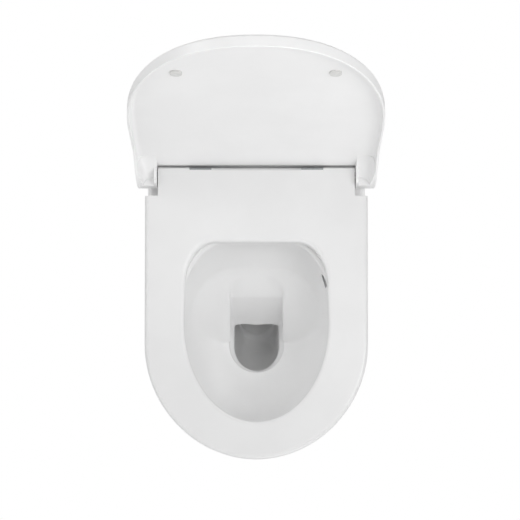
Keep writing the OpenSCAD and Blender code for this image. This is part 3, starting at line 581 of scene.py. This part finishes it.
seatShape = {
    "count": 130, "low": 86.0, "top": 110.0, "halfRear": 175.5, "halfFront": 172.8, "reach": 542.0,
    "nose": 178.0, "power": 1.97, "corner": 3.0, "behind": 20.0, "rear": 86.0, "round": 7.0, "roundTall": 0.8,
    "underEdge": ((4, 0), (2.3, 0.35), (1.2, 1.2), (0.35, 2.4), (0, 4)), "edgeTall": 4.0,
    "holeHalf": 111.5, "holeRear": 205.0, "holeFront": 484.5, "holeSplit": 330.0, "holePower": 2.02,
    "holeCornerWide": 0.42, "holeCorner": 66.0,
    "tongue": 154.5, "notch": 132.0, "recess": 105.5, "free": 6.4, "rearRound": 11.1, "rearStep": 4.5,
    "barrelUnder": 3.5, "pinBore": 3.55,
    "leafIn": 71.0, "leafOut": 105.0, "leafLength": 32.0, "leafThick": 6.0, "leafGap": 0.5,
    "screwIn": 8.0, "screwY": 9.0, "screwRadius": 1.6, "screwRise": 9.0, "softEdge": 0.0006,
}


# the same span along the hinge axis at both sides
def axisSpans(inner, outer):
    return [((side * inner, axisY, axisZ), (side * outer, axisY, axisZ)) for side in (-1, 1)]


def seatRing(shape, inset, z):
    return ringAt(shape["count"], z, shape["halfRear"] - inset, shape["halfFront"] - inset,
                  shape["behind"] - shape["rear"], shape["nose"] - shape["reach"], inset - shape["reach"],
                  shape["power"], shape["corner"], shape["corner"])


def holeRing(shape, grow, z):
    half = shape["holeHalf"]
    return ringAt(shape["count"], z, half + grow - 1, half + grow, grow - shape["holeRear"],
                  -shape["holeSplit"], -(shape["holeFront"] + grow), shape["holePower"],
                  half * shape["holeCornerWide"], shape["holeCorner"])


# the whole skin of the ring: up its outside, over the top and down its hole
def seatRings(shape):
    low, top, wide = shape["low"], shape["top"], shape["round"]
    tall, foot = wide * shape["roundTall"], low + shape["edgeTall"]
    rings = [seatRing(shape, inset, low + rise) for inset, rise in shape["underEdge"]]
    rings += [seatRing(shape, 0, lerp(foot, top - tall, k / 5)) for k in range(1, 6)]
    rings += [seatRing(shape, wide * (1 - math.cos(s)), top - tall * (1 - math.sin(s)))
              for s in quarterTurn(14)[1:]]
    rings += [seatRing(shape, wide + 1.0, top), holeRing(shape, wide, top)]
    rings += [holeRing(shape, (wide - 1) * (1 - math.cos(s)), top - tall * (1 - math.sin(s)))
              for s in reversed(quarterTurn(14))]
    rings += [holeRing(shape, 0, lerp(top - tall, foot, k / 5)) for k in range(1, 5)]
    return rings + [holeRing(shape, inset, low + rise) for inset, rise in reversed(shape["underEdge"])]


def buildSeat(shape):
    low, recess, free, tongue = shape["low"], shape["recess"], shape["free"], shape["tongue"]
    rear, step = -shape["rear"], shape["rearStep"]
    leafEnd, gap = axisY - shape["leafLength"], shape["leafGap"]
    seat = addObject("seatBody", skinForm(seatRings(shape), True))
    # the rear edge, the step below it, and the channel that the hinge unit lies in
    cuts = [((-far, rear, -far), (far, far, far)),
            ((-far, rear - step, -far), (far, far, axisZ - shape["barrelUnder"])),
            ((-recess, axisY - free, -far), (recess, far, axisZ)),
            ((-recess, rear - step, -far), (recess, far, far)),
            ((-recess, axisY, -far), (recess, far, axisZ + free))]
    # a notch beside each ear of the lid, and a recess for each hinge leaf
    for side in (-1, 1):
        inner, outer = sorted((side * tongue, side * far))
        cuts.append(((inner, -shape["notch"], -far), (outer, far, far)))
        inner, outer = sorted((side * (shape["leafIn"] - gap), side * (shape["leafOut"] + gap)))
        cuts.append(((inner, leafEnd - gap, -far), (outer, axisY, low + shape["leafThick"])))
    for lowCorner, highCorner in cuts:
        cutAway(seat, boxForm(lowCorner, highCorner))
    cutAway(seat, rodForm(free, 96, ((-recess, axisY, axisZ), (recess, axisY, axisZ))))

    # the rear edge is rounded about the hinge axis
    radius, lead, steps = shape["rearRound"], 1.0, 24
    section = [(far, axisZ), (far, far), (axisY + lead, far)]
    for k in range(steps + 1):
        a = lerp(math.acos(lead / radius), 0.0, k / steps)
        section.append((axisY + radius * math.cos(a), axisZ + radius * math.sin(a)))
    cutAway(seat, profileForm(section, (-far, far)))
    for side, bore in zip((-1, 1), axisSpans(recess - past, tongue + past)):
        cutAway(seat, rodForm(shape["pinBore"], 48, bore))
        y, screwTop = leafEnd + shape["screwY"], low + shape["leafThick"] + shape["screwRise"]
        for x in (shape["leafIn"] + shape["screwIn"], shape["leafOut"] - shape["screwIn"]):
            cutAway(seat, rodForm(shape["screwRadius"], 24, ((side * x, y, low), (side * x, y, screwTop))))
    print("stage: seat", len(seat.data.polygons))
    softEdges(seat, shape["softEdge"], 3)
    shadeSmooth(seat, 40.0)
    flattenNormals(seat)
    return seat


finishPiece(buildSeat(seatShape), "seat", "seat_plastic", "seat")

lidShape = {
    "count": 150, "inner": 113.0, "top": 118.5, "halfRear": 187.1, "half": 187.4, "reach": 562.0,
    "nose": 284.0, "power": 2.24, "corner": 10.0, "edge": 18.0, "wall": 3.6, "cove": 8.0, "round": 4.0,
    "lipRound": 1.2, "tail": 12.0, "open": 98.5, "swing": 22.6,
    "earLip": 80.0, "earStart": 205.0, "earRun": 85.0, "earIn": 0.5, "earUp": 0.6, "join": 1.0,
    "earTail": 4.0, "earFloor": 5.0, "earFloorWide": 1.5, "earFloorTall": 1.6, "earStep": 0.6,
    "earSlope": 45.0, "earEdge": (9.6, 4.1), "earTop": 0.5, "earDrop": 18.0, "earPower": (2.0, 6.0),
    "cheek": 4.0, "cheekIn": 156.0, "cheekFoot": ((-22.0, 3.0), (-19.0, 0.0), (7.0, 1.0), (10.5, 4.0)),
    "boss": 7.5, "bossIn": 5.0, "pinEnd": 164.0, "pinBore": 3.55,
    "clearAhead": 60.0, "relief": 9.0, "reliefDepth": 3.5, "softEdge": 0.0005,
}


# the lip's height at a place along the lid, from its front edge down to the ears
def lipHeight(shape, y):
    back = max(y - axisY, 0.0)
    fall = eased((y + shape["earStart"]) / shape["earRun"])
    level = lerp(shape["top"] - shape["edge"], shape["earLip"], fall)
    return max(level, axisZ - math.sqrt(max(shape["swing"] ** 2 - back * back, 0.0)))


# one ring of the closed lid; where no height is given, it follows the lip
def lidRing(shape, inset, z=None, up=0.0):
    corner = max(shape["corner"] - inset, 2)
    outline = halfOutline(shape["halfRear"] - inset, shape["half"] - inset, axisY + shape["tail"] - inset,
                          shape["nose"] - shape["reach"], inset - shape["reach"], shape["power"],
                          corner, corner)
    half = evenly(outline, shape["count"])
    return [(x, y, lipHeight(shape, y) + up if z is None else z) for x, y in closedRing(half)]


# the whole skin of the closed lid: its inner face, down the inside of its edge, and up and over the outside
def lidRings(shape):
    top, inner, cove, wall = shape["top"], shape["inner"], shape["cove"], shape["wall"]
    rounding, lip = shape["round"], shape["lipRound"]
    rings = [lidRing(shape, wall + cove + 4, inner), lidRing(shape, wall + cove + 1, inner)]
    rings += [lidRing(shape, wall + cove * (1 - math.sin(s)), inner - cove * (1 - math.cos(s)))
              for s in quarterTurn(12)]
    rings += [[(x, y, lerp(inner - cove, z, k / 6)) for x, y, z in lidRing(shape, wall, None, 1.0)]
              for k in range(1, 7)]
    rings += [lidRing(shape, wall - lip * (1 - math.cos(s)), None, 1.0 - math.sin(s))
              for s in quarterTurn(6)[1:]]
    rings += [lidRing(shape, lip * (1 - math.cos(s)), None, 1.0 - math.sin(s))
              for s in reversed(quarterTurn(6))]
    rings += [[(x, y, lerp(z, top - rounding, k / 7)) for x, y, z in lidRing(shape, 0.0, None, 1.0)]
              for k in range(1, 8)]
    rings += [lidRing(shape, rounding * (1 - math.cos(s)), top - rounding * (1 - math.sin(s)))
              for s in quarterTurn(10)[1:]]
    return rings + [lidRing(shape, rounding + 1, top), lidRing(shape, rounding + 5, top)]


# one section of what fills an ear, from the cheek to the lid's edge
def earSection(shape, side, y, wide, high, power):
    x0, x1 = shape["cheekIn"] + shape["earIn"], shape["halfRear"] - shape["wall"] / 2
    z0, z1 = lipHeight(shape, y) + shape["earUp"], shape["inner"] + shape["join"]
    points = [(x0, z1)]
    points += [(x0 + (wide - x0) * max(math.sin(a), 0.0) ** (2 / power),
                z0 + (high - z0) * max(math.cos(a), 0.0) ** (2 / power)) for a in quarterTurn(32)]
    return [(side * x, y, z) for x, z in points + [(x1, z0), (x1, z1)]]


# what fills an ear: a low floor beside the hinge, then a slope up to the lid's inner face
def earFill(shape, side):
    start, steps = axisY - shape["earFloor"], 30
    wide, tall, power = shape["cheekIn"] + shape["earFloorWide"], shape["earFloorTall"], shape["earPower"]
    rings = [earSection(shape, side, y, wide, lipHeight(shape, y) + tall, power[0])
             for y in (axisY + shape["tail"] - shape["earTail"], start)]
    for k in range(steps + 1):
        t = k / steps
        wide = shape["halfRear"] - lerp(*shape["earEdge"], t)
        high = shape["inner"] - shape["earTop"] - shape["earDrop"] * (1 - t) ** 2
        rings.append(earSection(shape, side, start - shape["earStep"] - shape["earSlope"] * t, wide, high,
                                lerp(*power, t)))
    return skinForm(rings)


# turns the closed lid up about the hinge axis
def openLid(lid, angle):
    lean = math.radians(-angle)
    for vert in lid.data.vertices:
        y, z = vert.co.y - axisY / 1000, vert.co.z - axisZ / 1000
        vert.co.y = axisY / 1000 + y * math.cos(lean) - z * math.sin(lean)
        vert.co.z = axisZ / 1000 + y * math.sin(lean) + z * math.cos(lean)


def buildLid(shape):
    inner, cheekIn, cheekOut = shape["inner"], shape["cheekIn"], shape["cheekIn"] + shape["cheek"]
    lid = addObject("lidBody", skinForm(lidRings(shape)))
    # a cheek at each side of the hinge, the fill of the ears, and a boss round each pin
    foot = [(axisY + y, shape["earLip"] + z) for y, z in shape["cheekFoot"]]
    roof = inner + shape["join"]
    section = [(foot[0][0], roof), *foot, (foot[-1][0], roof)]
    spans = [(side * cheekIn, side * cheekOut) for side in (-1, 1)]
    cutAway(lid, profileForm(section, *spans), "UNION")
    for side in (-1, 1):
        cutAway(lid, earFill(shape, side), "UNION")
    cutAway(lid, rodForm(shape["boss"], 64, *axisSpans(cheekIn, cheekOut + shape["bossIn"])), "UNION")
    # the lid's edge is taken away between the cheeks
    cutAway(lid, boxForm((-cheekIn, axisY - shape["clearAhead"], -far), (cheekIn, far, inner)))
    # over the hinge the lid is thinner, which leaves the dark seam behind the seat
    cutAway(lid, boxForm((-cheekIn, axisY - shape["relief"], -far),
                         (cheekIn, far, inner + shape["reliefDepth"])))
    cutAway(lid, rodForm(shape["pinBore"], 48, *axisSpans(cheekIn - past, shape["pinEnd"])))
    print("stage: lid", len(lid.data.polygons))
    softEdges(lid, shape["softEdge"], 2)
    openLid(lid, shape["open"])
    shadeSmooth(lid, 40.0)
    flattenNormals(lid)
    return lid


finishPiece(buildLid(lidShape), "lid", "lid_plastic", "lid")


def cameraAt(settings):
    data = bpy.data.cameras.new("camera")
    data.lens = settings["lens"]
    data.sensor_width = settings["sensor"]
    data.clip_end = settings["reach"]
    camera = bpy.data.objects.new("camera", data)
    camera.location = settings["place"]
    camera.rotation_euler = (math.radians(settings["tilt"]), 0.0, 0.0)
    bpy.context.scene.collection.objects.link(camera)
    bpy.context.scene.camera = camera


cameraAt({"place": (0.0057, -0.6345, 2.5385), "tilt": 9.356, "lens": 109.4, "sensor": 36.0, "reach": 30.0})


def lampAt(name, settings):
    data = bpy.data.lights.new(name, "AREA")
    data.shape = "RECTANGLE"
    data.size, data.size_y = settings["size"]
    data.energy = settings["power"]
    lamp = bpy.data.objects.new(name, data)
    lamp.location = settings["place"]
    aim = Vector(settings["aim"]) - Vector(settings["place"])
    lamp.rotation_euler = aim.to_track_quat("-Z", "Y").to_euler()
    bpy.context.scene.collection.objects.link(lamp)


lamps = {
    "keyLamp": {"place": (0.75, -0.45, 1.4), "aim": (0, -0.3, 0.1), "size": (0.6, 0.9), "power": 7.6},
    "topLamp": {"place": (0.1, 0.5, 2.4), "aim": (0, -0.3, 0.1), "size": (1.4, 1.0), "power": 5.0},
    "frontLamp": {"place": (0.4, -2.5, 0.4), "aim": (0, -0.1, 0.35), "size": (1.8, 0.5), "power": 9.0},
    "leftLamp": {"place": (-1.2, -0.45, 1.5), "aim": (0, -0.35, 0.1), "size": (1.0, 1.0), "power": 4.0},
    "rimLamp": {"place": (-1.0, 0.4, 1.0), "aim": (-0.1, -0.05, 0.45), "size": (0.5, 0.5), "power": 2.5},
}
for lampName, settings in lamps.items():
    lampAt(lampName, settings)


# plain light from all round, weaker from behind and from above; the camera sees white
def makeWorld(settings):
    world = bpy.data.worlds.new("studio")
    world.use_nodes = True
    tree = world.node_tree
    tree.nodes.clear()
    path = addNode(tree, "ShaderNodeLightPath")
    place = addNode(tree, "ShaderNodeTexCoord").outputs["Generated"]
    parts = addNode(tree, "ShaderNodeSeparateXYZ", {"Vector": place})
    white = (1.0, 1.0, 1.0, 1.0)
    depth = mapRange(tree, parts.outputs["Y"], settings["depthSpan"], settings["depthPower"])
    height = mapRange(tree, parts.outputs["Z"], settings["heightSpan"], settings["heightPower"])
    power = addNode(tree, "ShaderNodeMath", operation="MULTIPLY")
    tree.links.new(depth, power.inputs[0])
    tree.links.new(height, power.inputs[1])
    light = addNode(tree, "ShaderNodeBackground", {"Color": white, "Strength": power.outputs["Value"]})
    plain = addNode(tree, "ShaderNodeBackground", {"Color": white, "Strength": settings["seen"]})
    mix = addNode(tree, "ShaderNodeMixShader")
    tree.links.new(path.outputs["Is Camera Ray"], mix.inputs["Fac"])
    tree.links.new(light.outputs["Background"], mix.inputs[1])
    tree.links.new(plain.outputs["Background"], mix.inputs[2])
    output = addNode(tree, "ShaderNodeOutputWorld")
    tree.links.new(mix.outputs["Shader"], output.inputs["Surface"])
    bpy.context.scene.world = world


makeWorld({"depthSpan": (-0.4, 0.9), "depthPower": (0.6, 0.3),
           "heightSpan": (0.05, 0.9), "heightPower": (1.35, 0.75), "seen": 1.0})
bpy.context.scene.view_settings.view_transform = "Standard"


# a pale floor for the light, which the camera sees as plain white
def makeFloor(settings):
    form = bmesh.new()
    half = settings["half"]
    corners = [(-half, -half), (half, -half), (half, half), (-half, half)]
    form.faces.new([form.verts.new((x, y + settings["middle"], settings["height"])) for x, y in corners])
    floor = addObject("floor", form)
    material = bpy.data.materials.new("floor")
    material.use_nodes = True
    tree = material.node_tree
    tree.nodes.clear()
    path = addNode(tree, "ShaderNodeLightPath")
    paint = addNode(tree, "ShaderNodeBsdfDiffuse", {"Color": srgb(settings["colour"])})
    glow = addNode(tree, "ShaderNodeEmission", {"Color": (1.0, 1.0, 1.0, 1.0), "Strength": 1.0})
    mix = addNode(tree, "ShaderNodeMixShader")
    tree.links.new(path.outputs["Is Camera Ray"], mix.inputs["Fac"])
    tree.links.new(paint.outputs["BSDF"], mix.inputs[1])
    tree.links.new(glow.outputs["Emission"], mix.inputs[2])
    output = addNode(tree, "ShaderNodeOutputMaterial")
    tree.links.new(mix.outputs["Shader"], output.inputs["Surface"])
    floor.data.materials.append(material)


makeFloor({"half": 4.0, "middle": -0.3, "height": -0.36, "colour": "#e8e8e8"})
print("stage: camera, lamps and floor placed")
